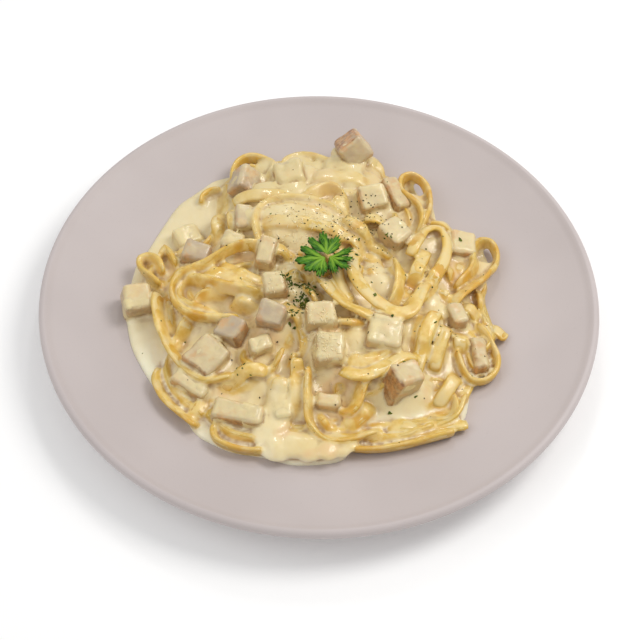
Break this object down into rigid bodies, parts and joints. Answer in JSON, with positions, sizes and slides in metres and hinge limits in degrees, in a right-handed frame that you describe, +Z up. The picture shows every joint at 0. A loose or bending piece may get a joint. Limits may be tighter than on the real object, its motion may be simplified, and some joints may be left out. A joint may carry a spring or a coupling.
{
  "type": "plated fettuccine alfredo",
  "caption": "Round coupe dinner plate holding a domed heap of flat ribbon pasta in pale cream sauce, with diced chicken and a sprig of parsley on top.",
  "frame": {"origin": "centre of the plate's foot ring, on the table it stands on", "axes": "+Z up; -Y towards the near side of the plate, where the sauce pool runs out from the heap; +X to the right of it"},
  "size_m": [0.27, 0.27, 0.0406],
  "materials": {
    "glaze": "satin glazed stoneware, pale greige",
    "cream": "glossy cream sauce",
    "pasta": "sauce-coated egg pasta",
    "chicken": "sauce-coated cooked chicken",
    "herb": "fresh leaf"
  },
  "bodies": {
    "root": {"plate": "glaze", "cream_sauce": "cream", "noodle_heap": "pasta", "chicken_01": "chicken", "chicken_02": "chicken", "chicken_03": "chicken", "chicken_04": "chicken", "chicken_05": "chicken", "chicken_06": "chicken", "chicken_07": "chicken", "chicken_08": "chicken", "chicken_09": "chicken", "chicken_10": "chicken", "chicken_11": "chicken", "chicken_12": "chicken", "chicken_13": "chicken", "chicken_14": "chicken", "chicken_15": "chicken", "chicken_16": "chicken", "chicken_17": "chicken", "chicken_18": "chicken", "chicken_19": "chicken", "chicken_20": "chicken", "chicken_21": "chicken", "chicken_22": "chicken", "chicken_23": "chicken", "chicken_24": "chicken", "chicken_25": "chicken", "chicken_26": "chicken", "chicken_27": "chicken", "chicken_28": "chicken", "parsley_sprig": "herb"}
  },
  "joints": []
}
